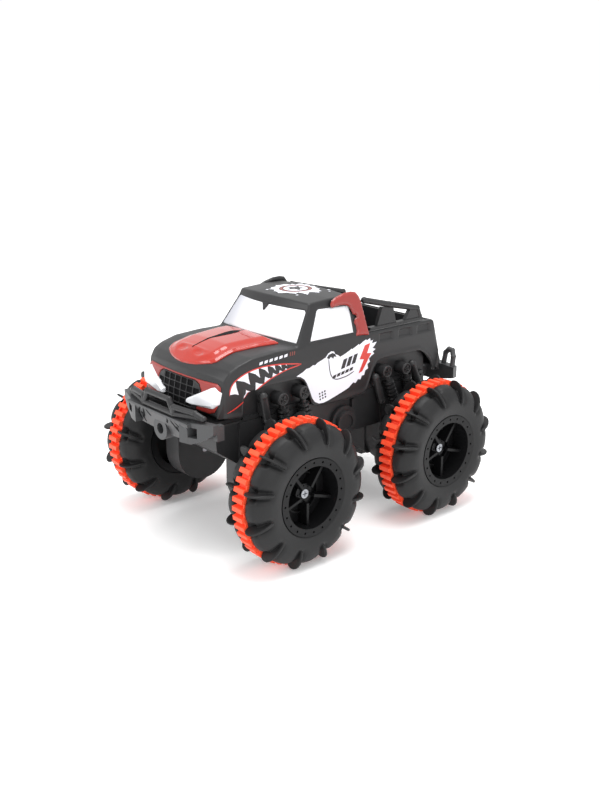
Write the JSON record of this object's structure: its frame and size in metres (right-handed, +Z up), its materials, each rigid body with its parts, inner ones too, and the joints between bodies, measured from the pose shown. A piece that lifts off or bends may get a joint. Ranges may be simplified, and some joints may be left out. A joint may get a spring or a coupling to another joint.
{
  "type": "rc stunt car",
  "caption": "Radio-controlled pickup-style stunt truck with paddle balloon wheels, sealed hull, bull bar, bed rails and fixed coil-over struts.",
  "frame": {"origin": "on the ground under the middle of the overall length and width, 2.5 mm in front of the middle of the wheelbase", "axes": "+X forward, +Y to the truck's left, +Z up"},
  "size_m": [0.229, 0.1782, 0.1575],
  "materials": {
    "battery_wrap": "gloss",
    "board_green": "satin",
    "body_black": "matte",
    "bumper_grey": "matte",
    "dark_window": "gloss",
    "dull_red": "satin",
    "gloss_red": "gloss",
    "gloss_white": "gloss",
    "hull_plastic": "satin",
    "nylon": "satin",
    "orange_rubber": "satin",
    "seal_rubber": "matte",
    "steel": "satin",
    "tyre": "matte"
  },
  "bodies": {
    "chassis": {"hull_tub": "hull_plastic", "upper_hull": "hull_plastic", "hull_seal": "seal_rubber", "leg_covers": "hull_plastic", "battery_pack": "battery_wrap", "battery_door": "hull_plastic", "door_screws": "steel", "circuit_board": "board_green", "power_switch": "steel", "side_plugs": "bumper_grey", "motor_front_left": "steel", "motor_front_right": "steel", "motor_rear_left": "steel", "motor_rear_right": "steel", "body_shell": "body_black", "hood_scoop": "gloss_red", "windscreen": "gloss_white", "side_windows": "gloss_white", "rear_window": "dark_window", "grille_surround": "gloss_red", "grille_mesh": "body_black", "headlight_left": "gloss_white", "headlight_right": "gloss_white", "hoop_trims": "dull_red", "bed_rails": "body_black", "bed_tray": "body_black", "front_bumper": "bumper_grey", "bull_bar": "body_black", "rear_bumper": "bumper_grey", "shocks_left": "hull_plastic", "shocks_right": "hull_plastic"},
    "wheel_front_left": {"axle_front_left": "steel", "gear_front_left": "nylon", "rim_front_left": "hull_plastic", "tyre_front_left": "tyre", "band_front_left": "orange_rubber", "screw_front_left": "steel"},
    "motor_pinion_front_left": {"pinion_front_left": "nylon"},
    "wheel_front_right": {"axle_front_right": "steel", "gear_front_right": "nylon", "rim_front_right": "hull_plastic", "tyre_front_right": "tyre", "band_front_right": "orange_rubber", "screw_front_right": "steel"},
    "motor_pinion_front_right": {"pinion_front_right": "nylon"},
    "wheel_rear_left": {"axle_rear_left": "steel", "gear_rear_left": "nylon", "rim_rear_left": "hull_plastic", "tyre_rear_left": "tyre", "band_rear_left": "orange_rubber", "screw_rear_left": "steel"},
    "motor_pinion_rear_left": {"pinion_rear_left": "nylon"},
    "wheel_rear_right": {"axle_rear_right": "steel", "gear_rear_right": "nylon", "rim_rear_right": "hull_plastic", "tyre_rear_right": "tyre", "band_rear_right": "orange_rubber", "screw_rear_right": "steel"},
    "motor_pinion_rear_right": {"pinion_rear_right": "nylon"},
    "switch": {"switch_knob": "body_black"}
  },
  "joints": [
    {"name": "wheel_front_left_spin", "type": "hinge", "parent": "chassis", "child": "wheel_front_left", "pos_m": [0.0595, 0.071, 0.047], "axis": [0, 1, 0], "continuous": true},
    {"name": "pinion_front_left_spin", "type": "hinge", "parent": "chassis", "child": "motor_pinion_front_left", "pos_m": [0.0595, 0.035, 0.071], "axis": [0, 1, 0], "continuous": true},
    {"name": "wheel_front_right_spin", "type": "hinge", "parent": "chassis", "child": "wheel_front_right", "pos_m": [0.0595, -0.071, 0.047], "axis": [0, 1, 0], "continuous": true},
    {"name": "pinion_front_right_spin", "type": "hinge", "parent": "chassis", "child": "motor_pinion_front_right", "pos_m": [0.0595, -0.035, 0.071], "axis": [0, 1, 0], "continuous": true},
    {"name": "wheel_rear_left_spin", "type": "hinge", "parent": "chassis", "child": "wheel_rear_left", "pos_m": [-0.0645, 0.071, 0.047], "axis": [0, 1, 0], "continuous": true},
    {"name": "pinion_rear_left_spin", "type": "hinge", "parent": "chassis", "child": "motor_pinion_rear_left", "pos_m": [-0.0645, 0.035, 0.071], "axis": [0, 1, 0], "continuous": true},
    {"name": "wheel_rear_right_spin", "type": "hinge", "parent": "chassis", "child": "wheel_rear_right", "pos_m": [-0.0645, -0.071, 0.047], "axis": [0, 1, 0], "continuous": true},
    {"name": "pinion_rear_right_spin", "type": "hinge", "parent": "chassis", "child": "motor_pinion_rear_right", "pos_m": [-0.0645, -0.035, 0.071], "axis": [0, 1, 0], "continuous": true},
    {"name": "power_switch_slide", "type": "slide", "parent": "chassis", "child": "switch", "axis": [1, 0, 0], "range_m": [0, 0.004]}
  ],
  "couplings": [
    {"joint": "pinion_front_left_spin", "follows": "wheel_front_left_spin", "ratio": -3},
    {"joint": "pinion_front_right_spin", "follows": "wheel_front_right_spin", "ratio": -3},
    {"joint": "pinion_rear_left_spin", "follows": "wheel_rear_left_spin", "ratio": -3},
    {"joint": "pinion_rear_right_spin", "follows": "wheel_rear_right_spin", "ratio": -3}
  ]
}
